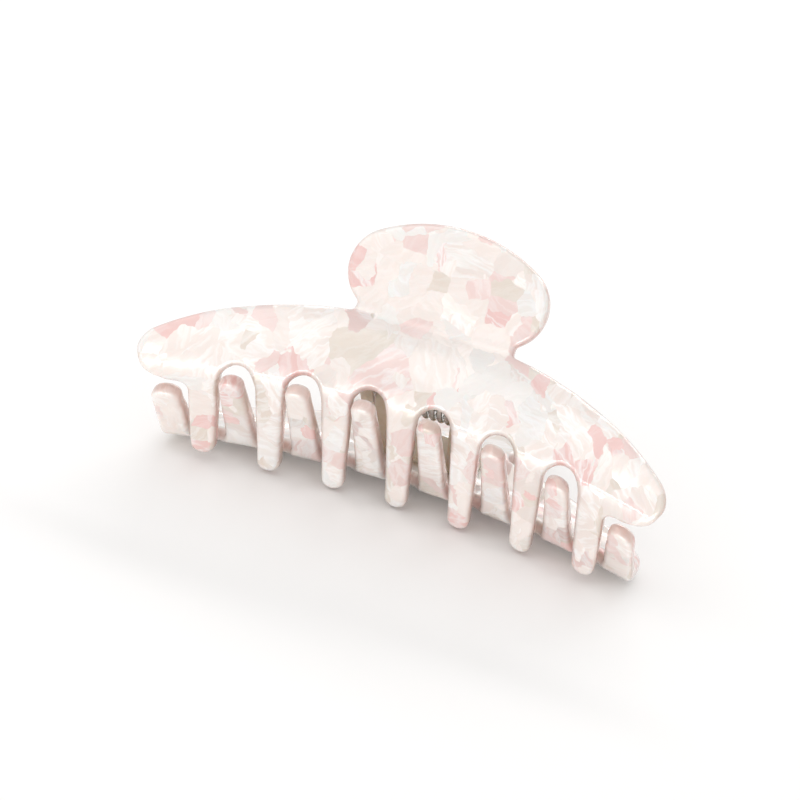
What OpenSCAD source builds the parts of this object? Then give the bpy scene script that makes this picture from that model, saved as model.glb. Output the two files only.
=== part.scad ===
// Hair claw clip: two bent sheet jaws on a sprung hinge, lying closed on its back jaw.
// Millimetres. X runs along the clip, +Y from the teeth towards the handles, +Z up.
// Origin: centre of the footprint, on the surface the clip lies on.
// Each jaw is drawn in a hinge frame: pin axis at the origin, Y = b (back), Z = w (outward).

/* [Overall] */
// Length of the front jaw over its wing tips
jaw_length = 105; // [84:1:126]
// Distance from the middle of the end tooth out to the wing tip
wing_overhang = 13.5; // [11:0.5:15]
// Thickness of the acetate sheet
sheet_t = 3; // [2.4:0.1:3.6]
// Height of the ridge's outer corner from the clip's middle plane
ridge_w = 10.8; // [9:0.1:13]
// Distance from the pin axis forward to the ridge's outer corner
ridge_b = 12.8; // [10.7:0.1:15.4]

/* [Jaw shape] */
// Slope of the wing where it leaves the ridge, degrees
wing_slope = 45; // [38:1:50]
// Radius of the domed wing in side view
dome_r = 18.5; // [15.5:0.5:22]
// Slope of the wing where it meets the neck bend, degrees
neck_slope = -4; // [-8:1:2]
// Outer radius of the ridge bend
ridge_bend_r = 4.2; // [3.8:0.1:6]
// Outer radius of the bend between neck and handle
neck_bend_r = 3; // [2:0.5:5]
// Radius of the bow in plan, measured at the pin axis
bow_r = 205; // [160:5:400]
// Tilt of the bow, so the wing ends sit lower, degrees
bow_tilt = 8; // [0:1:15]
// Radius of the rounded wing tips
wing_tip_r = 5; // [3.5:0.5:6.5]
// How far the middle of a wing tip lies behind the ridge
wing_tip_set = 2.2; // [0:0.1:4]

/* [Handle] */
// Width of the neck between wing and handle
neck_width = 32; // [26:0.5:36]
// Width of the oval handle
handle_width = 40; // [34:0.5:48]
// Length of the oval handle along its own face
handle_oval_l = 23; // [19:0.5:28]
// Distance from the neck bend to the middle of the oval
handle_centre = 8.7; // [7:0.1:10.5]
// Slope of the handle from the middle plane, degrees
handle_slope = 36; // [30:1:42]

/* [Teeth] */
// Gap between a tooth and the other jaw's tooth beside it
tooth_gap = 1.25; // [1:0.05:1.6]
// Taper: a tooth's root and tip differ from its middle width by this much
tooth_taper = 0.7; // [0.3:0.1:1]
// Distance of the middle tooth's tip beyond the middle plane
tooth_reach = 13.8; // [11.5:0.1:16.6]
// How far the teeth lean forward from square to the middle plane, degrees
tooth_lean = 8.85; // [4:0.05:12]
// Extra shortening of the outermost teeth
end_tooth_lift = 1.3; // [0:0.1:2.5]
// Distance the middle slots run past the ridge
slot_run = 2.0; // [1:0.1:3]
// Distance from the middle of the end tooth out to the edge of the back jaw's end lobes
lobe_reach = 9.5; // [8:0.1:11]
// Gap between an end lobe and the wing over it
lobe_gap = 0.8; // [0.5:0.1:1.5]

/* [Hinge] */
// Diameter of the hinge pin
pin_d = 2; // [1.8:0.1:2.4]
// Running gap around the pin in the ears that turn on it
pin_gap = 0.06; // [0.03:0.01:0.1]
// Radius of the rounded ear ends
ear_r = 3.4; // [3:0.1:4.2]
// Thickness of an ear
ear_t = 2.6; // [2:0.1:3.2]
// Gap between neighbouring ears
ear_gap = 0.35; // [0.3:0.05:0.6]
// Width of the hinge plates under the necks
plate_width = 24; // [21:0.5:28]
// Diameter of the spring wire
wire_d = 1.1; // [0.8:0.1:1.3]
// Number of spring coils
coil_turns = 8; // [6:1:9]
// Gap between the pin and the inside of the coil
coil_gap = 0.8; // [0.4:0.1:1.2]

/* [Hidden] */
$fn = 64;
eps = 0.01;
far = 60;
teeth_half = 3;                                  // outermost tooth of the front jaw, in pitches
tip_x = jaw_length / 2;                          // wing tip of the front jaw
end_x = tip_x - wing_overhang;                   // middle of the outermost tooth
pitch = end_x / teeth_half;
lobe_x = end_x + lobe_reach;                     // outer edge of the back jaw's end lobes
tooth_mid_w = pitch / 2 - tooth_gap;             // teeth of both jaws share one pitch
tooth_root_w = tooth_mid_w + tooth_taper;
tooth_tip_w = tooth_mid_w - tooth_taper;
tip_round = tooth_tip_w / 2 + 0.2;               // radius of a tooth's end
tooth_slope = 90 - tooth_lean;
tooth_tip_b = -(ridge_b + (ridge_w + tooth_reach) * tan(tooth_lean));

// side profile, outer surface, as positions in the b-w plane
function along(a) = [cos(a), sin(a)];
function out(a) = [-sin(a), cos(a)];
corner = [-ridge_b, ridge_w];
ridge_tan = ridge_bend_r * tan((tooth_slope - wing_slope) / 2);
bend_start = corner - ridge_tan * along(tooth_slope);
ridge_c = bend_start - ridge_bend_r * out(tooth_slope);
wing_start = corner + ridge_tan * along(wing_slope);
dome_c = wing_start - dome_r * out(wing_slope);
wing_end = dome_c + dome_r * out(neck_slope);
neck_c = wing_end + neck_bend_r * out(neck_slope);
neck_tan = neck_bend_r * tan((handle_slope - neck_slope) / 2);
neck = wing_end + neck_tan * along(neck_slope);  // corner where neck and handle would meet
handle_l = handle_centre + handle_oval_l / 2;
handle_end = neck + handle_l * along(handle_slope);
run_past = 1;                                    // bowed wing carried on under the neck bend

// bow: how far forward and how far down the sheet has moved at a given x
function sweep(x) = bow_r - sqrt(bow_r * bow_r - x * x);
function drop(x) = tan(bow_tilt) * sweep(x);

// resting attitude: the surface touches the end of the back handle, and either the middle teeth of the front jaw
// or both ends of the back wing
lobe_dome = dome_c - [sweep(lobe_x), drop(lobe_x)];
to_handle = handle_end - lobe_dome;
rest_angle = min(atan2(to_handle[1], to_handle[0]) - asin(dome_r / norm(to_handle)),
    atan2(handle_end[1] - tooth_reach, handle_end[0] - tooth_tip_b));
pin_z = handle_end * out(rest_angle);

// footprint, for the frame: rear end of the back handle, then the foremost of the front jaw's wing tips
// and the tips of the back jaw's outer teeth
handle_inner = handle_end - sheet_t * out(handle_slope);
rear_y = handle_inner[0] * cos(rest_angle) + handle_inner[1] * sin(rest_angle);
brim_y = (ridge_c[0] - sweep(tip_x)) * cos(rest_angle) - (ridge_c[1] - drop(tip_x)) * sin(rest_angle) - ridge_bend_r;
tooth_x = end_x - pitch / 2;
tooth_w = tip_at(tooth_x);
tooth_r = bow_r + tooth_tip_b;
tooth_b = -ridge_b - (ridge_at(tooth_x) - tooth_w) * tan(tooth_lean) - tooth_r + sqrt(tooth_r * tooth_r - tooth_x * tooth_x);
tooth_y = tooth_b * cos(rest_angle) + tooth_w * sin(rest_angle);
front_y = min(brim_y, tooth_y);
frame_y = -(rear_y + front_y) / 2;

// heights along the row of teeth
function ridge_at(x) = ridge_w - drop(x);
function tip_at(x) = -tooth_reach + sweep(x) * tan(rest_angle) + end_tooth_lift * pow(x / end_x, 4);
slot_r = (pitch - tooth_root_w) / 2;
slot_tip_hw = (pitch - tooth_tip_w) / 2;
slot_tilt = wing_slope;                          // slots are cut square to the sheet at the ridge
end_slot_drop = 0.9;                             // how much lower the outermost slots end
function slot_top(x) = slot_run - end_slot_drop * pow(x / end_x, 2);
skirt = 3.7;                                     // depth of the sheet below the ridge outside the teeth

// wing outline in plan: one long arc through the neck corner that runs smoothly into the tip circle
edge_x = 3;                                      // arc centre, off the middle so the two sides meet in a slight peak
tip_c = [tip_x - wing_tip_r, wing_tip_set - ridge_b - sweep(tip_x - wing_tip_r)];
neck_dx = neck_width / 2 - edge_x;
tip_dx = tip_c[0] - edge_x;
edge_k = neck_dx * neck_dx - tip_dx * tip_dx + wing_tip_r * wing_tip_r + neck[0] * neck[0] - tip_c[1] * tip_c[1];
edge_d = neck[0] - tip_c[1];
edge_qa = pow(edge_d / wing_tip_r, 2) - 1;
edge_qb = 2 * neck[0] - edge_k * edge_d / pow(wing_tip_r, 2);
edge_qc = pow(edge_k / (2 * wing_tip_r), 2) - neck_dx * neck_dx - neck[0] * neck[0];
edge_b = (-edge_qb - sqrt(edge_qb * edge_qb - 4 * edge_qa * edge_qc)) / (2 * edge_qa);
edge_r = norm([neck_dx, neck[0] - edge_b]);

// hinge
hole_r = pin_d / 2 + pin_gap;
ear_outer_x = plate_width / 2;
ear_inner_x = ear_outer_x - 2 * ear_t - ear_gap;
plate_b0 = -5;
plate_b1 = wing_end[0] - 0.3;
plate_t = 1.5;
pin_head_r = pin_d / 2 + 0.9;
pin_head_t = 0.9;
coil_r = pin_d / 2 + coil_gap + wire_d / 2;
coil_l = 2 * (ear_inner_x - wire_d / 2 - 0.3);
leg_out = 9.5;                                   // where the legs bear, measured along the handle from the neck
leg_gap = 0.3;

jaw_pink = [0.95, 0.86, 0.85];
plate_beige = [0.90, 0.84, 0.76];
steel = [0.72, 0.72, 0.74];

// ---------- jaw sheet ----------
function arc(c, r, a0, a1, n) = [for (i = [0 : n]) c + r * out(a0 + (a1 - a0) * i / n)];

// tooth wall, ridge bend and dome, open at the teeth end
module wing_profile() {
    foot = 5;
    low = bend_start - (bend_start[1] + tooth_reach + foot) / sin(tooth_slope) * along(tooth_slope);
    back = wing_end + run_past * along(neck_slope);
    polygon(concat(
        [low], arc(ridge_c, ridge_bend_r, tooth_slope, wing_slope, 4),
        arc(dome_c, dome_r, wing_slope, neck_slope, 9), [back],
        [back - sheet_t * out(neck_slope)],
        arc(dome_c, dome_r - sheet_t, neck_slope, wing_slope, 9),
        arc(ridge_c, ridge_bend_r - sheet_t, wing_slope, tooth_slope, 4),
        [low - sheet_t * out(tooth_slope)]));
}

module bowed_sheet() {
    half = asin(1.1 * tip_x / bow_r);
    rotate([bow_tilt, 0, 0]) translate([0, -bow_r, 0]) rotate([0, 0, 90 - half])
        rotate_extrude(angle = 2 * half, $fn = 360) translate([bow_r, 0]) rotate(-bow_tilt) wing_profile();
}

// neck bend and handle, straight along X, with a tongue reaching into the wing
module handle_profile() {
    bend = [for (i = [0 : 5]) let (a = neck_slope + (handle_slope - neck_slope) * i / 5) neck_c - neck_bend_r * out(a)];
    under = [for (i = [5 : -1 : 0]) let (a = neck_slope + (handle_slope - neck_slope) * i / 5) neck_c - (neck_bend_r + sheet_t) * out(a)];
    polygon(concat(bend, [handle_end + along(handle_slope), handle_inner + along(handle_slope)], under));
}

module tongue_profile() {
    inset = 0.5;
    reach = 3;
    polygon([wing_end - inset * out(neck_slope) + along(neck_slope),
        wing_end - (sheet_t - inset) * out(neck_slope) + along(neck_slope),
        wing_end - (sheet_t - inset) * out(neck_slope) - reach * along(neck_slope),
        wing_end - inset * out(neck_slope) - reach * along(neck_slope)]);
}

module along_x(width) rotate([90, 0, 90]) linear_extrude(width, center = true) children();

// four-centre oval
module oval(a, b, r1) {
    r2 = ((a - r1) * (a - r1) + b * b - r1 * r1) / (2 * (b - r1));
    d = [a - r1, r2 - b] / (r2 - r1);
    cut_x = a - r1 + r1 * d[0];
    intersection() {
        translate([0, b - r2]) circle(r2, $fn = 128);
        translate([0, r2 - b]) circle(r2, $fn = 128);
        square([2 * cut_x, 2 * b + 1], center = true);
    }
    for (s = [-1, 1]) translate([s * (a - r1), 0]) circle(r1);
}

module handle_outline() {
    translate([0, handle_centre]) oval(handle_width / 2, handle_oval_l / 2, handle_oval_l * 0.36);
    translate([-neck_width / 2, -6]) square([neck_width, 7]);
}

// outline drawn in the handle's plane, pushed square through it
module handle() {
    intersection() {
        along_x(handle_width + 2) handle_profile();
        translate([0, neck[0], neck[1]]) rotate([handle_slope, 0, 0])
            linear_extrude(2 * far, center = true) handle_outline();
    }
    along_x(neck_width - 3) tongue_profile();
}

// wing outline: a long back edge from the neck to a rounded tip, for one side
module wing_side(x_end) {
    cx = x_end - wing_tip_r;
    cb = edge_b + sqrt(pow(edge_r - wing_tip_r, 2) - pow(cx - edge_x, 2));
    d = [cx - edge_x, cb - edge_b] / (edge_r - wing_tip_r);
    intersection() {
        translate([edge_x, edge_b]) circle(edge_r, $fn = 180);
        polygon([[-eps, -far], [-eps, far], [cx, cb] + far * d, [cx, cb], [cx, -far]]);
    }
    translate([cx, cb]) circle(wing_tip_r);
    translate([-eps, -far]) square([x_end + eps, cb + far]);
}

module wing_outline(x_end) {
    wing_side(x_end);
    mirror([1, 0]) wing_side(x_end);
}

// one slot, seen square to the ridge: v = 0 is the ridge corner
module slot_shape(x) {
    top = slot_top(x) - slot_r;
    low = -0.75 * (ridge_w + tooth_reach);
    translate([x, top]) circle(slot_r);
    polygon([[x - slot_r, top], [x + slot_r, top], [x + slot_tip_hw, low], [x + slot_tip_hw, -far],
        [x - slot_tip_hw, -far], [x - slot_tip_hw, low]]);
}

module slots(xs) {
    for (x = xs)
        translate([0, -ridge_b - sweep(x), ridge_at(x)]) rotate([-slot_tilt / 2, 0, 0])
            translate([0, far / 2, 0]) rotate([90, 0, 0]) linear_extrude(far + 8) slot_shape(x);
}

// front view of what is kept: a round end on each tooth
module tooth_ends(xs) {
    for (x = xs) {
        translate([x, tip_at(x) + tip_round]) circle(tip_round);
        translate([x - pitch / 2, tip_at(x) + tip_round]) square([pitch, ridge_w + tooth_reach]);
    }
}

module front_view() translate([0, far / 2, 0]) rotate([90, 0, 0]) linear_extrude(far + 30) children();

module jaw_blank(x_end) {
    intersection() {
        bowed_sheet();
        translate([0, 0, -far]) linear_extrude(2 * far) wing_outline(x_end);
        front_view() children();
    }
}

front_teeth = [for (i = [-teeth_half : teeth_half]) i * pitch];
front_slots = [for (i = [-teeth_half : teeth_half - 1]) (i + 0.5) * pitch];

module front_jaw_hinge_frame() {
    skirt_w = ridge_at(end_x) - skirt;
    side = end_x + tooth_root_w / 2;
    brim = tip_x - side;
    difference() {
        jaw_blank(tip_x) union() {
            tooth_ends(front_teeth);
            for (s = [-1, 1]) scale([s, 1])
                polygon([[0, skirt_w], [side + 0.37 * brim, skirt_w], [side + 0.64 * brim, skirt_w + 1],
                    [side + 0.85 * brim, skirt_w + 2.4], [side + 1.04 * brim, skirt_w + 5], [side + 1.24 * brim, skirt_w + 9],
                    [side + 1.24 * brim, far], [0, far]]);
        }
        slots(front_slots);
        for (s = [0, 1]) mirror([s, 0, 0]) front_view()
            polygon([[side, skirt_w], [end_x + tooth_tip_w / 2, -tooth_reach], [end_x + tooth_tip_w / 2, -far],
                [tip_x + far, -far], [tip_x + far, skirt_w]]);
    }
    handle();
}

// drawn as a front jaw; the half-pitch shift puts its teeth in the other jaw's slots
module back_jaw_hinge_frame() {
    lobe_in = end_x + slot_r;
    lobe_w = -(ridge_at(end_x) - skirt - lobe_gap);
    round_r = 2.4;
    difference() {
        jaw_blank(lobe_x) union() {
            tooth_ends(front_slots);
            translate([-lobe_x - 1, 0]) square([2 * lobe_x + 2, far]);
            for (s = [-1, 1]) scale([s, 1]) {
                translate([lobe_in - 1, lobe_w + round_r]) square([lobe_x + 2 - lobe_in, far]);
                translate([lobe_in + round_r + 0.6, lobe_w + round_r]) circle(round_r);
                translate([lobe_in + round_r + 0.6, lobe_w]) square([lobe_x - lobe_in - 2 * round_r - 0.6, 2 * round_r]);
                translate([lobe_x - round_r, lobe_w + round_r]) circle(round_r);
            }
        }
        slots(front_teeth);
    }
    handle();
}

// ---------- placing ----------
module rest_pose() translate([0, frame_y, pin_z]) rotate([rest_angle, 0, 0]) children();

module front_jaw() color(jaw_pink) rest_pose() front_jaw_hinge_frame();
module back_jaw() color(jaw_pink) rest_pose() mirror([0, 0, 1]) back_jaw_hinge_frame();

// ---------- hinge ----------
// upper edge of plates and ears, inside the sheet; trimming by the sheet makes them meet its inner face
plate_top = [for (i = [0 : 6]) let (b = plate_b1 + (plate_b0 - plate_b1) * i / 6, r = dome_r - sheet_t / 2)
    [b, dome_c[1] + sqrt(r * r - pow(b - dome_c[0], 2))]];
plate_under_w = dome_c[1] + sqrt(pow(dome_r - sheet_t, 2) - pow(plate_b0 - dome_c[0], 2)) - plate_t;

// side view of an ear: round about the pin, widening up to the plate
module ear_profile() {
    waist = plate_under_w - 3;
    difference() {
        union() {
            circle(ear_r);
            polygon(concat([[-ear_r, 0], [ear_r, 0], [plate_b1, waist]], plate_top, [[plate_b0, waist]]));
        }
        circle(hole_r);
    }
}

// plate under the neck with two ears whose outer sides are at x = ear_x
module hinge_plate(ear_x) {
    difference() {
        union() {
            for (s = [-1, 1]) translate([s * (ear_x - ear_t / 2), 0, 0]) along_x(ear_t) ear_profile();
            along_x(plate_width) polygon(concat([[plate_b1, plate_under_w]], plate_top, [[plate_b0, plate_under_w]]));
        }
        bowed_sheet();
    }
}

module front_hinge_plate() color(plate_beige) rest_pose() hinge_plate(ear_outer_x);
module back_hinge_plate() color(plate_beige) rest_pose() mirror([0, 0, 1]) hinge_plate(ear_outer_x - ear_t - ear_gap);

module hinge_pin() color(steel) rest_pose() {
    along_x(2 * (ear_outer_x + 0.2)) circle(pin_d / 2);
    for (s = [-1, 1]) translate([s * (ear_outer_x + 0.2 + pin_head_t / 2), 0, 0]) along_x(pin_head_t) circle(pin_head_r);
}

// ---------- spring ----------
leg_tip = neck + leg_out * along(handle_slope) - (sheet_t + wire_d / 2 + leg_gap) * out(handle_slope);
leg_angle = atan2(leg_tip[1], leg_tip[0]);
leg_reach = norm(leg_tip);
// the leg leaves the coil along a tangent
leave = leg_angle + acos(coil_r / leg_reach);
spring_path = concat(
    [[-coil_l / 2, leg_tip[0], leg_tip[1]]],
    [for (i = [0 : coil_turns * 20]) let (t = i / (coil_turns * 20), a = leave + (360 * coil_turns - 2 * leave) * t)
        [-coil_l / 2 + coil_l * t, coil_r * cos(a), coil_r * sin(a)]],
    [[coil_l / 2, leg_tip[0], -leg_tip[1]]]);

module tube(path, r, n = 8) {
    last = len(path) - 1;
    dirs = [for (i = [0 : last]) let (d = path[min(i + 1, last)] - path[max(i - 1, 0)]) d / norm(d)];
    pts = [for (i = [0 : last]) let (u = cross(dirs[i], [1, 0, 0]), v = u / norm(u), q = cross(dirs[i], v))
        for (k = [0 : n - 1]) path[i] + r * (cos(360 * k / n) * v + sin(360 * k / n) * q)];
    sides = [for (i = [0 : last - 1], k = [0 : n - 1]) [i * n + k, i * n + (k + 1) % n, (i + 1) * n + (k + 1) % n, (i + 1) * n + k]];
    polyhedron(pts, concat(sides, [[for (k = [n - 1 : -1 : 0]) k], [for (k = [0 : n - 1]) last * n + k]]));
}

module torsion_spring() color(steel) rest_pose() tube(spring_path, wire_d / 2);

front_jaw();
back_jaw();
front_hinge_plate();
back_hinge_plate();
hinge_pin();
torsion_spring();
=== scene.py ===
# Hair claw clip in pearl acetate, closed and lying on its back jaw.
# Lengths in the dictionaries are millimetres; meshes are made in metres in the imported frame.
import math
import bmesh
import bpy
import numpy as np
from mathutils import Matrix, Vector
from mathutils.geometry import delaunay_2d_cdt


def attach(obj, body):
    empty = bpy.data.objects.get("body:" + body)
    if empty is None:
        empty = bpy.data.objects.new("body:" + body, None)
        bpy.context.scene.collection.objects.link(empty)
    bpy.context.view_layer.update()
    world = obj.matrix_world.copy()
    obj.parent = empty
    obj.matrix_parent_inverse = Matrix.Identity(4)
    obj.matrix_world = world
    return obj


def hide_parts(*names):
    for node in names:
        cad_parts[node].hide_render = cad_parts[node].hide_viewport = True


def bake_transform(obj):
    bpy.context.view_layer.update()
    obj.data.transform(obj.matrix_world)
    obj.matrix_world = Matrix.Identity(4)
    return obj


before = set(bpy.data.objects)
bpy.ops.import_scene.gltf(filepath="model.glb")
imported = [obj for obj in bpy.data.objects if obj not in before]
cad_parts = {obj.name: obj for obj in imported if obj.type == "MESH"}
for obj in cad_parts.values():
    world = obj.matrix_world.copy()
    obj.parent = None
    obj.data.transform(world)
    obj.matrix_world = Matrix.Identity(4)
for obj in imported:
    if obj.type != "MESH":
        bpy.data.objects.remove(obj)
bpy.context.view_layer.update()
print("frame loaded")

mm = 0.001

# where the hinge frame sits: pin axis, and how far the clip leans back at rest
resting = {"pinY": -3.95658, "pinZ": 19.1086, "lean": 22.4711}


def fromHinge(points, outward=1):
    # hinge frame (x, back, outward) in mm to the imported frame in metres; outward = -1 for the back jaw
    lean = math.radians(resting["lean"])
    x, b, w = points[:, 0], points[:, 1], points[:, 2] * outward
    y = resting["pinY"] + b * math.cos(lean) - w * math.sin(lean)
    z = resting["pinZ"] + b * math.sin(lean) + w * math.cos(lean)
    return np.stack([x, y, z], 1) * mm


def hexToLinear(code):
    parts = [int(code[i:i + 2], 16) / 255 for i in (1, 3, 5)]
    return [v / 12.92 if v <= 0.04045 else ((v + 0.055) / 1.055) ** 2.4 for v in parts] + [1.0]


def addNode(tree, kind, settings=None, links=None):
    # settings: attribute or input name -> value; links: input name or number -> output socket
    node = tree.nodes.new(kind)
    for name, value in (settings or {}).items():
        if hasattr(node, name) and name not in node.inputs:
            setattr(node, name, value)
        else:
            node.inputs[name].default_value = value
    for name, source in (links or {}).items():
        tree.links.new(source, node.inputs[name])
    return node


def startMaterial(name):
    material = bpy.data.materials.new(name)
    material.use_nodes = True
    material.node_tree.nodes.clear()
    return material, material.node_tree


def finishMaterial(tree, shader):
    output = tree.nodes.new("ShaderNodeOutputMaterial")
    tree.links.new(shader.outputs[0], output.inputs["Surface"])


def setRamp(node, stops, interpolation="LINEAR"):
    ramp = node.color_ramp
    ramp.interpolation = interpolation
    while len(ramp.elements) > 1:
        ramp.elements.remove(ramp.elements[-1])
    for i, (place, colour) in enumerate(stops):
        element = ramp.elements[0] if i == 0 else ramp.elements.new(place)
        element.position = place
        element.color = hexToLinear(colour) if isinstance(colour, str) else (colour, colour, colour, 1)


# pearl acetate: cellulose acetate block pressed from pearly flakes, cut, bent hot and tumble polished.
# It gives crisp-edged chips, silky streaks that differ from chip to chip, and a wet clear gloss over all; the
# streaks are painted near white as their pearly sheen.
pearlAcetate = {
    "bigChip": 8.6,       # flake width
    "smallChip": 4.2,
    "wander": 1.6,        # how far flake borders stray from straight
    "wanderSize": 5.0,
    "smallAbove": 0.6,    # small flakes with a higher draw than this lie over the big ones
    "chipTilt": 0.4,     # how differently the flakes catch the light
    "silkTilt": 0.4,
    "streak": 1.1,        # silk line spacing
    "foldRatio": 3.2,     # broad folds against fine streaks
    "pink": "#F1DAD5", "deepPink": "#EFCDC8", "pearl": "#F1E7E1",
    "beige": "#EADFD4", "clear": "#F5F0EC",
    # painted sheen: near-white laid over the silk fold lines of the flakes
    "silkSheen": "#FFFEFD",
    "edgeShadeColour": "#D3AA9D",  # painted shade: pink-brown darkening on all cut edges and slot walls, standing for their shade and the deeper tone seen into the thickness
    "edgeShadeDepth": 0.55,
}


def makePearlAcetate():
    p = pearlAcetate
    material, tree = startMaterial("pearl acetate, tumble polished")
    sheetPlace = addNode(tree, "ShaderNodeAttribute", {"attribute_name": "sheetPlace"})
    paintedEdgeShade = addNode(tree, "ShaderNodeAttribute", {"attribute_name": "paintedEdgeShade"})
    wanderNoise = addNode(tree, "ShaderNodeTexNoise", {
        "Scale": 1 / (p["wanderSize"] * mm), "Detail": 3.0, "Roughness": 0.6},
        {"Vector": sheetPlace.outputs["Vector"]})
    centred = addNode(tree, "ShaderNodeVectorMath", {"operation": "SUBTRACT"}, {0: wanderNoise.outputs["Color"]})
    centred.inputs[1].default_value = (0.5, 0.5, 0.5)
    strayed = addNode(tree, "ShaderNodeVectorMath", {"operation": "MULTIPLY_ADD"},
                      {0: centred.outputs[0], 2: sheetPlace.outputs["Vector"]})
    strayed.inputs[1].default_value = (p["wander"] * 2 * mm,) * 3

    # two layers of flakes; some small ones lie over the big ones
    bigChips = addNode(tree, "ShaderNodeTexVoronoi", {"Scale": 1 / (p["bigChip"] * mm), "Randomness": 1.0},
                       {"Vector": strayed.outputs[0]})
    smallChips = addNode(tree, "ShaderNodeTexVoronoi", {"Scale": 1 / (p["smallChip"] * mm), "Randomness": 1.0},
                         {"Vector": strayed.outputs[0]})
    smallPick = addNode(tree, "ShaderNodeSeparateColor", {}, {0: smallChips.outputs["Color"]})
    onTop = addNode(tree, "ShaderNodeMath", {"operation": "GREATER_THAN"}, {0: smallPick.outputs[2]})
    onTop.inputs[1].default_value = p["smallAbove"]
    chipRandom = addNode(tree, "ShaderNodeMix", {"data_type": "RGBA"})
    tree.links.new(onTop.outputs[0], chipRandom.inputs[0])
    tree.links.new(bigChips.outputs["Color"], chipRandom.inputs[6])
    tree.links.new(smallChips.outputs["Color"], chipRandom.inputs[7])
    chipParts = addNode(tree, "ShaderNodeSeparateColor", {}, {0: chipRandom.outputs[2]})

    # silk: fine noise drawn out along each flake's own direction
    turn = addNode(tree, "ShaderNodeMath", {"operation": "MULTIPLY"}, {0: chipParts.outputs[1]})
    turn.inputs[1].default_value = math.pi * 2
    turned = addNode(tree, "ShaderNodeVectorRotate", {"rotation_type": "Z_AXIS"},
                     {"Vector": strayed.outputs[0], "Angle": turn.outputs[0]})
    drawn = addNode(tree, "ShaderNodeMapping", {"Scale": (1.0, 0.22, 0.5)}, {"Vector": turned.outputs[0]})
    silkSheen = addNode(tree, "ShaderNodeTexNoise", {
        "Scale": 1 / (p["streak"] * mm), "Detail": 4.0, "Roughness": 0.55, "Distortion": 0.6},
        {"Vector": drawn.outputs[0]})
    folds = addNode(tree, "ShaderNodeTexNoise", {
        "Scale": 1 / (p["streak"] * p["foldRatio"] * mm), "Detail": 3.0, "Roughness": 0.5, "Distortion": 1.4},
        {"Vector": drawn.outputs[0]})

    chipColour = addNode(tree, "ShaderNodeValToRGB", {}, {0: chipParts.outputs[0]})
    setRamp(chipColour, [(0.0, p["pearl"]), (0.22, p["pink"]), (0.36, p["pearl"]), (0.5, p["beige"]),
                         (0.62, p["deepPink"]), (0.72, p["pearl"]), (0.88, p["clear"])], "CONSTANT")
    # the fold lines are the flakes' own pattern; their near-white is painted pearly sheen
    foldSheenLines = addNode(tree, "ShaderNodeValToRGB", {}, {0: folds.outputs[0]})
    setRamp(foldSheenLines, [(0.4, 0.0), (0.5, 0.8), (0.6, 0.0)])
    silkSheenShare = addNode(tree, "ShaderNodeMapRange", {
        "From Min": 0.25, "From Max": 0.8, "To Min": 0.22, "To Max": 0.88}, {0: chipParts.outputs[1]})
    paintedSheenAmount = addNode(tree, "ShaderNodeMath", {"operation": "MULTIPLY"},
                         {0: foldSheenLines.outputs[0], 1: silkSheenShare.outputs[0]})
    silkSheenPainted = addNode(tree, "ShaderNodeMix", {"data_type": "RGBA"})
    tree.links.new(paintedSheenAmount.outputs[0], silkSheenPainted.inputs[0])
    tree.links.new(chipColour.outputs[0], silkSheenPainted.inputs[6])
    silkSheenPainted.inputs[7].default_value = hexToLinear(p["silkSheen"])
    # painted shade: the cut edges and slot walls are multiplied darker towards the edge
    edgeShaded = addNode(tree, "ShaderNodeMix", {"data_type": "RGBA", "blend_type": "MULTIPLY"})
    tree.links.new(paintedEdgeShade.outputs["Fac"], edgeShaded.inputs[0])
    tree.links.new(silkSheenPainted.outputs[2], edgeShaded.inputs[6])
    edgeShaded.inputs[7].default_value = hexToLinear(p["edgeShadeColour"])

    # each flake leans its own way under the clear gloss, and its silk ripples
    lean = addNode(tree, "ShaderNodeVectorMath", {"operation": "SUBTRACT"}, {0: chipRandom.outputs[2]})
    lean.inputs[1].default_value = (0.5, 0.5, 0.5)
    ripple = addNode(tree, "ShaderNodeVectorMath", {"operation": "SUBTRACT"}, {0: silkSheen.outputs["Color"]})
    ripple.inputs[1].default_value = (0.5, 0.5, 0.5)
    surface = addNode(tree, "ShaderNodeNewGeometry")
    leaning = addNode(tree, "ShaderNodeVectorMath", {"operation": "MULTIPLY_ADD"},
                      {0: lean.outputs[0], 2: surface.outputs["Normal"]})
    leaning.inputs[1].default_value = (p["chipTilt"],) * 3
    rippled = addNode(tree, "ShaderNodeVectorMath", {"operation": "MULTIPLY_ADD"},
                      {0: ripple.outputs[0], 2: leaning.outputs[0]})
    rippled.inputs[1].default_value = (p["silkTilt"],) * 3
    flakeNormal = addNode(tree, "ShaderNodeVectorMath", {"operation": "NORMALIZE"}, {0: rippled.outputs[0]})

    # clear flakes let more light through
    seeThrough = addNode(tree, "ShaderNodeValToRGB", {}, {0: chipParts.outputs[0]})
    setRamp(seeThrough, [(0.0, 0.05), (0.2, 0.15), (0.36, 0.08), (0.5, 0.16),
                         (0.62, 0.1), (0.72, 0.05), (0.88, 0.1)], "CONSTANT")
    roughness = addNode(tree, "ShaderNodeMapRange", {"To Min": 0.24, "To Max": 0.42}, {0: silkSheen.outputs[0]})
    shader = addNode(tree, "ShaderNodeBsdfPrincipled", {
        "Metallic": 0.2, "IOR": 1.49, "Subsurface Weight": 0.35, "Subsurface Scale": 0.0025,
        "Subsurface Radius": (1.0, 0.72, 0.62), "Coat Weight": 1.0, "Coat Roughness": 0.035, "Coat IOR": 1.49},
        {"Base Color": edgeShaded.outputs[2], "Roughness": roughness.outputs[0], "Normal": flakeNormal.outputs[0],
         "Transmission Weight": seeThrough.outputs[0]})
    finishMaterial(tree, shader)
    return material


# plain acetate: clear beige block, sawn and solvent polished; amber-grey where it is thick, soft gloss
plainAcetate = {"colour": "#D9C6AC", "cloud": "#E7DAC6", "cloudSize": 3.0, "sawLine": 0.5}


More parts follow.
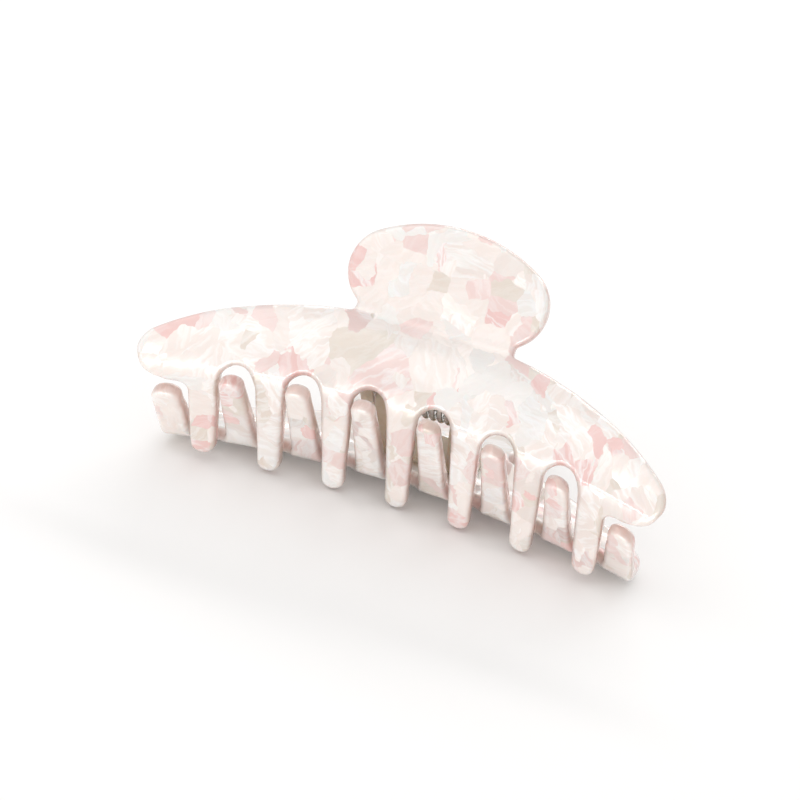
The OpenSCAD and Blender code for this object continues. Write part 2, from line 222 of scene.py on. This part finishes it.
def makePlainAcetate():
    p = plainAcetate
    material, tree = startMaterial("clear beige acetate, solvent polished")
    place = addNode(tree, "ShaderNodeTexCoord")
    cloud = addNode(tree, "ShaderNodeTexNoise", {"Scale": 1 / (p["cloudSize"] * mm), "Detail": 3.0},
                    {"Vector": place.outputs["Object"]})
    colour = addNode(tree, "ShaderNodeValToRGB", {}, {0: cloud.outputs[0]})
    setRamp(colour, [(0.35, p["colour"]), (0.7, p["cloud"])])
    sawn = addNode(tree, "ShaderNodeTexNoise", {"Scale": 1 / (p["sawLine"] * mm), "Detail": 2.0},
                   {"Vector": place.outputs["Object"]})
    relief = addNode(tree, "ShaderNodeBump", {"Strength": 0.15, "Distance": 0.05 * mm}, {"Height": sawn.outputs[0]})
    shader = addNode(tree, "ShaderNodeBsdfPrincipled", {
        "Roughness": 0.22, "IOR": 1.49, "Transmission Weight": 0.3,
        "Subsurface Weight": 0.2, "Subsurface Scale": 0.002,
        "Coat Weight": 0.5, "Coat Roughness": 0.08}, {"Base Color": colour.outputs[0], "Normal": relief.outputs[0]})
    finishMaterial(tree, shader)
    return material


# steels: bright metal with faint lines left by the drawing die, drawn coarser than real so that they show
steels = {"pinColour": "#C9C8C6", "springColour": "#D6D4D0", "dieLine": 0.12}


def makeSteel(name, colour, roughLow, roughHigh, along):
    material, tree = startMaterial(name)
    place = addNode(tree, "ShaderNodeTexCoord")
    stretched = addNode(tree, "ShaderNodeMapping", {"Scale": along}, {"Vector": place.outputs["Object"]})
    lines = addNode(tree, "ShaderNodeTexNoise", {"Scale": 1 / (steels["dieLine"] * mm), "Detail": 3.0},
                    {"Vector": stretched.outputs[0]})
    tint = addNode(tree, "ShaderNodeValToRGB", {}, {0: lines.outputs[0]})
    dark = "#%02X%02X%02X" % tuple(int(int(colour[i:i + 2], 16) * 0.86) for i in (1, 3, 5))
    setRamp(tint, [(0.35, dark), (0.65, colour)])
    rough = addNode(tree, "ShaderNodeMapRange", {"To Min": roughLow, "To Max": roughHigh}, {0: lines.outputs[0]})
    relief = addNode(tree, "ShaderNodeBump", {"Strength": 0.2, "Distance": 0.02 * mm}, {"Height": lines.outputs[0]})
    shader = addNode(tree, "ShaderNodeBsdfPrincipled", {"Metallic": 1.0},
                     {"Base Color": tint.outputs[0], "Roughness": rough.outputs[0], "Normal": relief.outputs[0]})
    finishMaterial(tree, shader)
    return material


pearlMaterial = makePearlAcetate()
plainMaterial = makePlainAcetate()
pinMaterial = makeSteel("drawn steel, riveted", steels["pinColour"], 0.22, 0.38, (0.08, 1.0, 1.0))
springMaterial = makeSteel("spring wire, bright drawn", steels["springColour"], 0.18, 0.32, (1.0, 0.6, 0.6))
print("materials made")

# the bent sheet that both jaws are cut from
bentSheet = {
    "thickness": 3.0, "edgeRound": 1.05,          # tumbled edge
    "ridgeBack": -12.8, "ridgeOut": 10.8,         # where tooth wall and wing would meet
    "ridgeBend": 4.2, "dome": 18.5, "neckBend": 3.0,
    "toothSlope": 81.15, "wingSlope": 45.0, "neckSlope": -4.0, "handleSlope": 36.0,
    "bow": 205.0, "bowTilt": 8.0,
    "easing": 1.0,                                # length over which one bend runs into the next
    "runLow": -42, "runHigh": 52, "runStep": 0.02,
    "anchor": 36,                                 # from runLow up to a place on the straight tooth wall
}


def heading(degrees):
    return np.array([math.cos(math.radians(degrees)), math.sin(math.radians(degrees))])


def makeProfile(p):
    # middle surface in side view: length along it -> back, out and slope; 0 is where the ridge bend starts
    half = p["thickness"] / 2
    bends = [(p["ridgeBend"] - half) * math.radians(p["toothSlope"] - p["wingSlope"]),
             (p["dome"] - half) * math.radians(p["wingSlope"] - p["neckSlope"]),
             (p["neckBend"] + half) * math.radians(p["handleSlope"] - p["neckSlope"])]
    joins = np.cumsum([0] + bends)
    step = p["runStep"]
    run = np.arange(p["runLow"], p["runHigh"], step)
    slope = np.interp(run, joins, [p["toothSlope"], p["wingSlope"], p["neckSlope"], p["handleSlope"]])
    window = int(p["easing"] / step) | 1
    slope = np.convolve(np.pad(slope, window // 2, "edge"), np.ones(window) / window, "valid")
    back = np.cumsum(np.cos(np.radians(slope))) * step
    out = np.cumsum(np.sin(np.radians(slope))) * step
    start = np.array([p["ridgeBack"], p["ridgeOut"]])
    setBack = p["ridgeBend"] * math.tan(math.radians(p["toothSlope"] - p["wingSlope"]) / 2)
    start = start - setBack * heading(p["toothSlope"])
    start = start - half * np.array([-heading(p["toothSlope"])[1], heading(p["toothSlope"])[0]])
    zero = int(round(p["anchor"] / step))         # untouched by the easing
    wanted = start + run[zero] * heading(p["toothSlope"])
    return {"run": run, "back": back - back[zero] + wanted[0], "out": out - out[zero] + wanted[1], "slope": slope,
            "wingEnd": joins[2], "neckEnd": joins[3]}


profile = makeProfile(bentSheet)


def sheetToHinge(x, s, lift):
    # a point of the sheet: x across, s along the profile, lift off its middle surface, to the bowed hinge frame
    p = bentSheet
    slope = np.radians(np.interp(s, profile["run"], profile["slope"]))
    b = np.interp(s, profile["run"], profile["back"]) - lift * np.sin(slope)
    w = np.interp(s, profile["run"], profile["out"]) + lift * np.cos(slope)
    tilt = math.radians(p["bowTilt"])
    radial = p["bow"] + b * math.cos(tilt) + w * math.sin(tilt)
    across = -b * math.sin(tilt) + w * math.cos(tilt)
    forward = np.sqrt(radial ** 2 - x ** 2) - p["bow"]
    bowB = forward * math.cos(tilt) - across * math.sin(tilt)
    bowW = forward * math.sin(tilt) + across * math.cos(tilt)
    fade = np.clip((s - profile["wingEnd"] + 3) / 4, 0, 1)   # the neck and handle stay straight
    fade = 1 - fade * fade * (3 - 2 * fade)
    return np.stack([x, b + (bowB - b) * fade, w + (bowW - w) * fade], -1)


# what is cut out of the sheet, both jaws
cutting = {
    "pitch": 13.0, "endTooth": 39.0, "toothTip": 4.55, "slotRadius": 3.525, "slotTipHalf": 4.225,
    "toothReach": 13.8,
    "tipRise": 1.3, "slotRun": 2.0, "slotDrop": 0.9, "slotLow": -18.45,
    "skirt": 3.7, "sideBlend": 2.0,
    "skirtAcross": [0, 0.37, 0.64, 0.85, 1.04, 1.24], "skirtRise": [0, 0, 1, 2.4, 5, 9],
    "edgeX": 3.0, "edgeB": -70.309, "edgeR": 75.0736, "wingTipR": 5.0,
    "neckB": 3.63048, "neckW": 17.0666, "neckHalf": 16.0, "neckFillet": 0.8,
    "handleHalf": 20.0, "handleCentre": 8.7, "handleHalfL": 11.5, "handleCornerR": 8.28,
    "frontEnd": 52.5, "backEnd": 48.5, "lobeLow": -5.774, "lobeInset": 0.6, "lobeRound": 2.4,
    "soften": 0.55,                               # tumbling rounds the outline's corners
}


def sweepAt(x):
    return bentSheet["bow"] - np.sqrt(bentSheet["bow"] ** 2 - x * x)


def ridgeAt(x):
    return bentSheet["ridgeOut"] - math.tan(math.radians(bentSheet["bowTilt"])) * sweepAt(x)


def tipAt(x):
    level = sweepAt(x) * math.tan(math.radians(resting["lean"]))
    return -cutting["toothReach"] + level + cutting["tipRise"] * (x / cutting["endTooth"]) ** 4


def softUnion(a, b, k):
    return np.maximum(a, b) + np.maximum(k - np.abs(a - b), 0) ** 2 / (4 * k)


def wingInside(x, b, end):
    c = cutting
    ax = np.abs(x)
    cx = end - c["wingTipR"]
    cb = c["edgeB"] + math.sqrt((c["edgeR"] - c["wingTipR"]) ** 2 - (cx - c["edgeX"]) ** 2)
    dx, db = (cx - c["edgeX"]) / (c["edgeR"] - c["wingTipR"]), (cb - c["edgeB"]) / (c["edgeR"] - c["wingTipR"])
    arc = c["edgeR"] - np.hypot(ax - c["edgeX"], b - c["edgeB"])
    wedge = np.where(b > cb, (b - cb) * dx - (ax - cx) * db, cx - ax)
    tip = c["wingTipR"] - np.hypot(ax - cx, b - cb)
    below = np.minimum(end - ax, cb - b)
    return np.maximum(np.maximum(np.minimum(arc, wedge), tip), below)


def slotCut(x, b, w, x0):
    c = cutting
    half = math.radians(bentSheet["wingSlope"] / 2)
    v = (b + sweepAt(x0) - bentSheet["ridgeBack"]) * math.sin(half) + (w - ridgeAt(x0)) * math.cos(half)
    top = c["slotRun"] - c["slotDrop"] * (x0 / c["endTooth"]) ** 2 - c["slotRadius"]
    side = np.interp(v, [c["slotLow"], top], [c["slotTipHalf"], c["slotRadius"]])
    return np.where(v > top, np.hypot(x - x0, v - top) - c["slotRadius"], np.abs(x - x0) - side)


def toothEnds(x, w, teeth):
    capR = cutting["toothTip"] / 2 + 0.2
    nearest = teeth[np.argmin(np.abs(x[..., None] - teeth), axis=-1)]
    centre = tipAt(nearest) + capR
    return np.where(w > centre, capR + (w - centre), capR - np.hypot(x - nearest, w - centre))


def handleInside(x, s):
    c = cutting
    neckRun = profile["neckEnd"] + 2              # a place on the flat handle, to measure along it from
    place = np.array([np.interp(neckRun, profile["run"], profile[side]) for side in ("back", "out")])
    offset = (place - np.array([c["neckB"], c["neckW"]])) @ heading(bentSheet["handleSlope"]) - neckRun
    h = s + offset
    ax, ah = np.abs(x), np.abs(h - c["handleCentre"])
    r1 = c["handleCornerR"]
    a, half = c["handleHalf"], c["handleHalfL"]
    r2 = ((a - r1) ** 2 + half ** 2 - r1 ** 2) / (2 * (half - r1))
    dx, dy = (a - r1) / (r2 - r1), (r2 - half) / (r2 - r1)
    beyond = dx * ah - dy * (ax - (a - r1)) < 0
    oval = np.where(beyond, r1 - np.hypot(ax - (a - r1), ah), r2 - np.hypot(ax, ah + r2 - half))
    neck = np.minimum(c["neckHalf"] - ax, np.minimum(1 - h, s - profile["wingEnd"] + 4))
    return softUnion(oval, neck, c["neckFillet"])


def jawInside(x, s, isFront):
    # above 0 inside the jaw's outline, 0 on it
    c = cutting
    place = sheetToHinge(x, s, 0)
    b, w = place[..., 1], place[..., 2]
    ax = np.abs(x)
    end = c["frontEnd"] if isFront else c["backEnd"]
    inside = np.minimum(wingInside(x, b, end), profile["wingEnd"] + 1.5 - s)
    whole = np.arange(-3, 4) * c["pitch"]
    halves = (np.arange(-3, 3) + 0.5) * c["pitch"]
    skirtW = ridgeAt(c["endTooth"]) - c["skirt"]
    if isFront:
        side = c["endTooth"] + c["pitch"] / 2 - c["slotRadius"]
        brim = end - side
        skirt = w - np.interp(ax, side + brim * np.array(c["skirtAcross"]), skirtW + np.array(c["skirtRise"]))
        endHalf = np.interp(w, [-c["toothReach"], skirtW], [c["toothTip"] / 2, c["pitch"] / 2 - c["slotRadius"]])
        endTooth = endHalf + c["endTooth"] - ax
        lower = softUnion(np.minimum(endTooth, toothEnds(x, w, whole)), skirt, c["sideBlend"])
    else:
        lobeIn = c["endTooth"] + c["slotRadius"] + c["lobeInset"]
        r = c["lobeRound"]
        qx = np.abs(ax - (lobeIn + end) / 2) - (end - lobeIn) / 2 + r
        qw = c["lobeLow"] + r - w
        lobe = r - np.hypot(np.maximum(qx, 0), np.maximum(qw, 0)) - np.minimum(np.maximum(qx, qw), 0)
        ends = np.where(ax < lobeIn - 1, toothEnds(x, w, halves), -1)
        lower = np.maximum(np.maximum(ends, lobe), np.where(w > 0, w, -1))
    inside = np.minimum(inside, lower)
    for x0 in (halves if isFront else whole):
        inside = np.minimum(inside, slotCut(x, b, w, x0))
    return softUnion(inside, handleInside(x, s), c["neckFillet"])


def traceOutline(field, xs, ss):
    # marching squares; returns the longest closed loop
    links = {}
    sign = field > 0
    mixed = sign[:-1, :-1].astype(int) + sign[1:, :-1] + sign[:-1, 1:] + sign[1:, 1:]

    def crossing(i, j, along):
        k, l = (i + 1, j) if along == 0 else (i, j + 1)
        t = field[i, j] / (field[i, j] - field[k, l])
        return (xs[i] + (xs[k] - xs[i]) * t, ss[j] + (ss[l] - ss[j]) * t)

    for i, j in np.argwhere((mixed > 0) & (mixed < 4)):
        around = [((i, j, 0), sign[i, j] != sign[i + 1, j]), ((i + 1, j, 1), sign[i + 1, j] != sign[i + 1, j + 1]),
                  ((i, j + 1, 0), sign[i, j + 1] != sign[i + 1, j + 1]), ((i, j, 1), sign[i, j] != sign[i, j + 1])]
        cut = [key for key, crossed in around if crossed]
        for a, b in zip(cut[::2], cut[1::2]):
            links.setdefault(a, []).append(b)
            links.setdefault(b, []).append(a)
    loops, seen = [], set()
    for first in links:
        if first in seen:
            continue
        loop, here = [], first
        while here is not None:
            seen.add(here)
            loop.append(here)
            here = next((n for n in links[here] if n not in seen), None)
        loops.append(loop)
    return np.array([crossing(*key) for key in max(loops, key=len)])


def resampleLoop(loop, spacing):
    closed = np.vstack([loop, loop[:1]])
    length = np.concatenate([[0], np.cumsum(np.hypot(*np.diff(closed, axis=0).T))])
    count = int(round(length[-1] / spacing))
    at = np.arange(count) * length[-1] / count
    return np.stack([np.interp(at, length, closed[:, 0]), np.interp(at, length, closed[:, 1])], 1)


def softenLoop(loop, spacing, amount):
    reach = int(4 * amount / spacing)
    weights = np.exp(-0.5 * (np.arange(-reach, reach + 1) * spacing / amount) ** 2)
    weights /= weights.sum()
    return sum(weight * np.roll(loop, k - reach, axis=0) for k, weight in enumerate(weights))


meshing = {"grid": 0.25, "traceStep": 0.12, "outlineStep": 0.5, "spot": 1.0, "rowRatio": 0.87, "edgeClear": 0.45,
           "reachX": 54, "lowS": -33, "highS": 42, "edgeTurns": [0, 20, 40, 60, 77, 90]}


def buildJaw(name, isFront, sheetShift):
    g = meshing
    xs, ss = np.arange(-g["reachX"], g["reachX"] + 0.1, g["grid"]), np.arange(g["lowS"], g["highS"], g["grid"])
    gx, gs = np.meshgrid(xs, ss, indexing="ij")
    outline = traceOutline(jawInside(gx, gs, isFront), xs, ss)
    outline = resampleLoop(outline, g["traceStep"])
    outline = resampleLoop(softenLoop(outline, g["traceStep"], cutting["soften"]), g["outlineStep"])
    if np.sum(outline[:, 0] * np.roll(outline[:, 1], -1) - np.roll(outline[:, 0], -1) * outline[:, 1]) < 0:
        outline = outline[::-1]                   # counter-clockwise
    tangent = np.roll(outline, -1, axis=0) - np.roll(outline, 1, axis=0)
    inward = np.stack([-tangent[:, 1], tangent[:, 0]], 1) / np.hypot(*tangent.T)[:, None]

    half, r = bentSheet["thickness"] / 2, bentSheet["edgeRound"]
    turns = np.radians(g["edgeTurns"])
    n = len(outline)
    flat, edgeShadeTone = [], []
    for turn in turns:                            # rings from the edge inwards, upper side
        ring = outline + inward * r * (1 - math.cos(turn))
        flat.append(np.column_stack([ring, np.full(n, half - r + r * math.sin(turn))]))
        # painted shade tone: darkest at the cut edge, fading to none inside the rounded rim
        edgeShadeTone.append(np.full(n, pearlAcetate["edgeShadeDepth"] * math.cos(turn) ** 4))
    rings = np.vstack(flat)
    inner = rings[-n:, :2]
    spot = g["spot"]
    hx, hs = np.meshgrid(np.arange(-g["reachX"], g["reachX"], spot),
                         np.arange(g["lowS"], g["highS"], spot * g["rowRatio"]), indexing="ij")
    hx = hx + (np.arange(hx.shape[1]) % 2) * spot / 2
    spots = np.column_stack([hx.ravel(), hs.ravel()])
    spots = spots[jawInside(spots[:, 0], spots[:, 1], isFront) > 0]
    clear = np.array([np.min(np.hypot(outline[:, 0] - q[0], outline[:, 1] - q[1])) for q in spots])
    spots = spots[clear > r + g["edgeClear"]]
    coordinates = [Vector(v) for v in np.vstack([inner, spots])]
    edges = [(i, (i + 1) % n) for i in range(n)]
    verts, _, faces, *_ = delaunay_2d_cdt(coordinates, edges, [], 1, 1e-7)
    assert len(verts) == len(coordinates)
    upper = np.vstack([rings, np.column_stack([spots, np.full(len(spots), half)])])
    edgeShadeTones = np.concatenate(edgeShadeTone + [np.zeros(len(spots))])
    count = len(upper)
    base = (len(turns) - 1) * n                   # ring points come first, then the inside
    top = [[base + i for i in face] for face in faces]
    for k in range(len(turns) - 1):
        for i in range(n):
            j = (i + 1) % n
            top.append([k * n + i, k * n + j, (k + 1) * n + j, (k + 1) * n + i])
    bottom = [[count + i for i in reversed(face)] for face in top]
    wall = [[i, count + i, count + (i + 1) % n, (i + 1) % n] for i in range(n)]
    whole = np.vstack([upper, upper * [1, 1, -1]])
    places = fromHinge(sheetToHinge(whole[:, 0], whole[:, 1], whole[:, 2]), 1 if isFront else -1)
    mesh = bpy.data.meshes.new(name)
    mesh.from_pydata(places.tolist(), [], top + bottom + wall)
    sheetPlace = mesh.attributes.new("sheetPlace", "FLOAT_VECTOR", "POINT")
    sheetPlace.data.foreach_set("vector", ((whole + np.array(sheetShift)) * mm).astype(np.float32).ravel())
    paintedEdgeShade = mesh.attributes.new("paintedEdgeShade", "FLOAT", "POINT")
    paintedEdgeShade.data.foreach_set("value", np.concatenate([edgeShadeTones, edgeShadeTones]).astype(np.float32))
    work = bmesh.new()
    work.from_mesh(mesh)
    bmesh.ops.recalc_face_normals(work, faces=work.faces)
    if work.calc_volume(signed=True) < 0:
        bmesh.ops.reverse_faces(work, faces=work.faces)
    work.to_mesh(mesh)
    print(name, "open edges", sum(len(e.link_faces) != 2 for e in work.edges), "faces", len(work.faces))
    work.free()
    mesh.shade_smooth()
    mesh.materials.append(pearlMaterial)
    jaw = bpy.data.objects.new(name, mesh)
    bpy.context.scene.collection.objects.link(jaw)
    return jaw


frontJaw = buildJaw("frontJawSheet", True, (0, 0, 0))
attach(frontJaw, "front")
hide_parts("front_jaw")
backJaw = buildJaw("backJawSheet", False, (260, 140, 30))   # cut from another place in the block
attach(backJaw, "back")
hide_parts("back_jaw")
print("jaws cut and bent")

# hinge plates and pin: the designed shapes with their edges broken
hingeParts = {"plateEdge": 0.35, "headEdge": 0.32}


def finishedCopy(name, node, edge, angle, material):
    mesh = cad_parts[node].data.copy()
    mesh.name = name
    mesh.materials.clear()
    work = bmesh.new()
    work.from_mesh(mesh)
    bmesh.ops.remove_doubles(work, verts=work.verts, dist=2e-6)
    bmesh.ops.dissolve_limit(work, angle_limit=math.radians(2), verts=work.verts, edges=work.edges)
    bmesh.ops.recalc_face_normals(work, faces=work.faces)
    work.to_mesh(mesh)
    work.free()
    mesh.materials.append(material)
    made = bpy.data.objects.new(name, mesh)
    bpy.context.scene.collection.objects.link(made)
    bevel = made.modifiers.new("broken edges", "BEVEL")
    bevel.width, bevel.segments, bevel.limit_method = edge * mm, 3, "ANGLE"
    bevel.angle_limit = math.radians(angle)
    bevel.harden_normals = True
    mesh.shade_smooth()
    return made


frontPlate = finishedCopy("frontHingePlate", "front_hinge_plate", hingeParts["plateEdge"], 40, plainMaterial)
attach(frontPlate, "front")
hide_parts("front_hinge_plate")
backPlate = finishedCopy("backHingePlate", "back_hinge_plate", hingeParts["plateEdge"], 40, plainMaterial)
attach(backPlate, "back")
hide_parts("back_hinge_plate")
pin = finishedCopy("rivetedPin", "hinge_pin", hingeParts["headEdge"], 50, pinMaterial)
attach(pin, "back")
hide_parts("hinge_pin")
print("hinge plates and pin finished")

# torsion spring: round wire swept along its path by geometry nodes
spring = {"wire": 1.1, "coilR": 2.35, "coilL": 11.2, "turns": 8, "legB": 13.5791, "legW": 19.5358, "sides": 14}


def springPath(p):
    legAngle = math.atan2(p["legW"], p["legB"])
    leave = legAngle + math.acos(p["coilR"] / math.hypot(p["legB"], p["legW"]))
    full = 2 * math.pi * p["turns"] - 2 * leave
    t = np.linspace(0, 1, p["turns"] * 32 + 1)
    angle = leave + full * t
    along = -p["coilL"] / 2 + p["coilL"] * t
    coil = np.column_stack([along, p["coilR"] * np.cos(angle), p["coilR"] * np.sin(angle)])
    legRun = np.linspace(0, 1, 9)[:-1, None]
    first = np.array([-p["coilL"] / 2, p["legB"], p["legW"]])
    last = np.array([p["coilL"] / 2, p["legB"], -p["legW"]])
    return np.vstack([first + (coil[0] - first) * legRun, coil, last + (coil[-1] - last) * legRun[::-1]])


def makeWireTree():
    tree = bpy.data.node_groups.new("sweep spring wire", "GeometryNodeTree")
    tree.interface.new_socket("Geometry", in_out="INPUT", socket_type="NodeSocketGeometry")
    tree.interface.new_socket("Wire radius", in_out="INPUT", socket_type="NodeSocketFloat")
    tree.interface.new_socket("Wire sides", in_out="INPUT", socket_type="NodeSocketInt")
    tree.interface.new_socket("Wire material", in_out="INPUT", socket_type="NodeSocketMaterial")
    tree.interface.new_socket("Geometry", in_out="OUTPUT", socket_type="NodeSocketGeometry")
    given = tree.nodes.new("NodeGroupInput")
    path = addNode(tree, "GeometryNodeMeshToCurve", {}, {0: given.outputs["Geometry"]})
    ring = addNode(tree, "GeometryNodeCurvePrimitiveCircle", {},
                   {"Resolution": given.outputs["Wire sides"], "Radius": given.outputs["Wire radius"]})
    swept = addNode(tree, "GeometryNodeCurveToMesh", {"Fill Caps": True},
                    {"Curve": path.outputs[0], "Profile Curve": ring.outputs[0]})
    smooth = addNode(tree, "GeometryNodeSetShadeSmooth", {}, {0: swept.outputs[0]})
    real = addNode(tree, "GeometryNodeRealizeInstances", {}, {0: smooth.outputs[0]})
    dressed = addNode(tree, "GeometryNodeSetMaterial", {},
                      {0: real.outputs[0], "Material": given.outputs["Wire material"]})
    result = tree.nodes.new("NodeGroupOutput")
    tree.links.new(dressed.outputs[0], result.inputs[0])
    return tree


def buildSpring():
    p = spring
    points = fromHinge(springPath(p))
    mesh = bpy.data.meshes.new("springPath")
    mesh.from_pydata(points.tolist(), [(i, i + 1) for i in range(len(points) - 1)], [])
    carrier = bpy.data.objects.new("springPath", mesh)
    bpy.context.scene.collection.objects.link(carrier)
    sweep = carrier.modifiers.new("sweep", "NODES")
    sweep.node_group = makeWireTree()
    items = sweep.node_group.interface.items_tree
    sockets = {item.name: item.identifier for item in items if item.in_out == "INPUT"}
    sweep[sockets["Wire radius"]] = p["wire"] / 2 * mm
    sweep[sockets["Wire sides"]] = p["sides"]
    sweep[sockets["Wire material"]] = springMaterial
    bpy.context.view_layer.update()
    swept = bpy.data.meshes.new_from_object(carrier.evaluated_get(bpy.context.evaluated_depsgraph_get()))
    bpy.data.objects.remove(carrier)
    work = bmesh.new()
    work.from_mesh(swept)
    bmesh.ops.remove_doubles(work, verts=work.verts, dist=1e-7)
    bmesh.ops.recalc_face_normals(work, faces=work.faces)
    work.to_mesh(swept)
    work.free()
    made = bpy.data.objects.new("coiledSpring", swept)
    swept.name = "coiledSpring"
    bpy.context.scene.collection.objects.link(made)
    return made


coiledSpring = buildSpring()
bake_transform(coiledSpring)
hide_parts("torsion_spring")
print("spring wound")

# studio: a soft key from above, a low strip that lights the ridge, and one behind for the handle; metres here
studio = {
    "floor": "#FAF9F8", "floorHalf": 3.0, "world": 0.84, "aim": (0, 0, 0.03),
    "softboxes": [
        {"name": "keySoftbox", "place": (-0.28, -0.22, 0.62), "width": 0.5, "height": 0.5, "power": 0.52},
        {"name": "ridgeStrip", "place": (-0.05, -0.75, 0.10), "width": 0.8, "height": 0.07, "power": 1.6},
        {"name": "backSoftbox", "place": (0.05, 0.5, 0.42), "width": 0.7, "height": 0.07, "power": 1.1},
    ],
}


def addSoftbox(name, place, aim, width, height, power):
    light = bpy.data.lights.new(name, "AREA")
    light.shape, light.size, light.size_y, light.energy = "RECTANGLE", width, height, power
    lamp = bpy.data.objects.new(name, light)
    lamp.location = place
    lamp.rotation_euler = (Vector(aim) - Vector(place)).to_track_quat("-Z", "Y").to_euler()
    bpy.context.scene.collection.objects.link(lamp)


def buildStudio():
    mesh = bpy.data.meshes.new("paleFloor")
    size = studio["floorHalf"]
    corners = [(-size, -size, 0), (size, -size, 0), (size, size, 0), (-size, size, 0)]
    mesh.from_pydata(corners, [], [(0, 1, 2, 3)])
    floor = bpy.data.objects.new("paleFloor", mesh)
    bpy.context.scene.collection.objects.link(floor)
    material, tree = startMaterial("pale paper sweep, matt")
    shader = addNode(tree, "ShaderNodeBsdfPrincipled",
                     {"Base Color": hexToLinear(studio["floor"]), "Roughness": 0.9})
    finishMaterial(tree, shader)
    mesh.materials.append(material)
    for box in studio["softboxes"]:
        addSoftbox(box["name"], box["place"], studio["aim"], box["width"], box["height"], box["power"])
    world = bpy.data.worlds.new("studioWhite")
    world.use_nodes = True
    background = world.node_tree.nodes["Background"]
    background.inputs["Color"].default_value = (1, 1, 1, 1)
    background.inputs["Strength"].default_value = studio["world"]
    bpy.context.scene.world = world
    bpy.context.scene.view_settings.view_transform = "Standard"


buildStudio()
print("studio set")

# camera: from the right and above, rolled so that the clip runs down to the right
viewpoint = {"azimuth": 15.971, "elevation": 28.931, "roll": -9.243, "shift": (7.328, -7.914),
             "distance": 441.204, "focal": 2290.66, "aimHeight": 27.0, "sensor": 36, "frameWidth": 800}


def addCamera():
    v = viewpoint
    azimuth, elevation, roll = (math.radians(v[k]) for k in ("azimuth", "elevation", "roll"))
    right = Vector((math.cos(azimuth), math.sin(azimuth), 0))
    level = math.cos(elevation)
    ahead = Vector((-math.sin(azimuth) * level, math.cos(azimuth) * level, -math.sin(elevation)))
    down = ahead.cross(right)
    turnedRight = math.cos(roll) * right + math.sin(roll) * down
    turnedDown = -math.sin(roll) * right + math.cos(roll) * down
    place = Vector((0, 0, v["aimHeight"])) - v["shift"][0] * turnedRight - v["shift"][1] * turnedDown
    place = place - v["distance"] * ahead
    data = bpy.data.cameras.new("productCamera")
    data.sensor_width, data.lens = v["sensor"], v["focal"] * v["sensor"] / v["frameWidth"]
    data.clip_start, data.clip_end = 0.01, 20
    camera = bpy.data.objects.new("productCamera", data)
    axes = Matrix((turnedRight, -turnedDown, -ahead)).transposed()
    camera.matrix_world = Matrix.Translation(place * mm) @ axes.to_4x4()
    bpy.context.scene.collection.objects.link(camera)
    bpy.context.scene.camera = camera


addCamera()
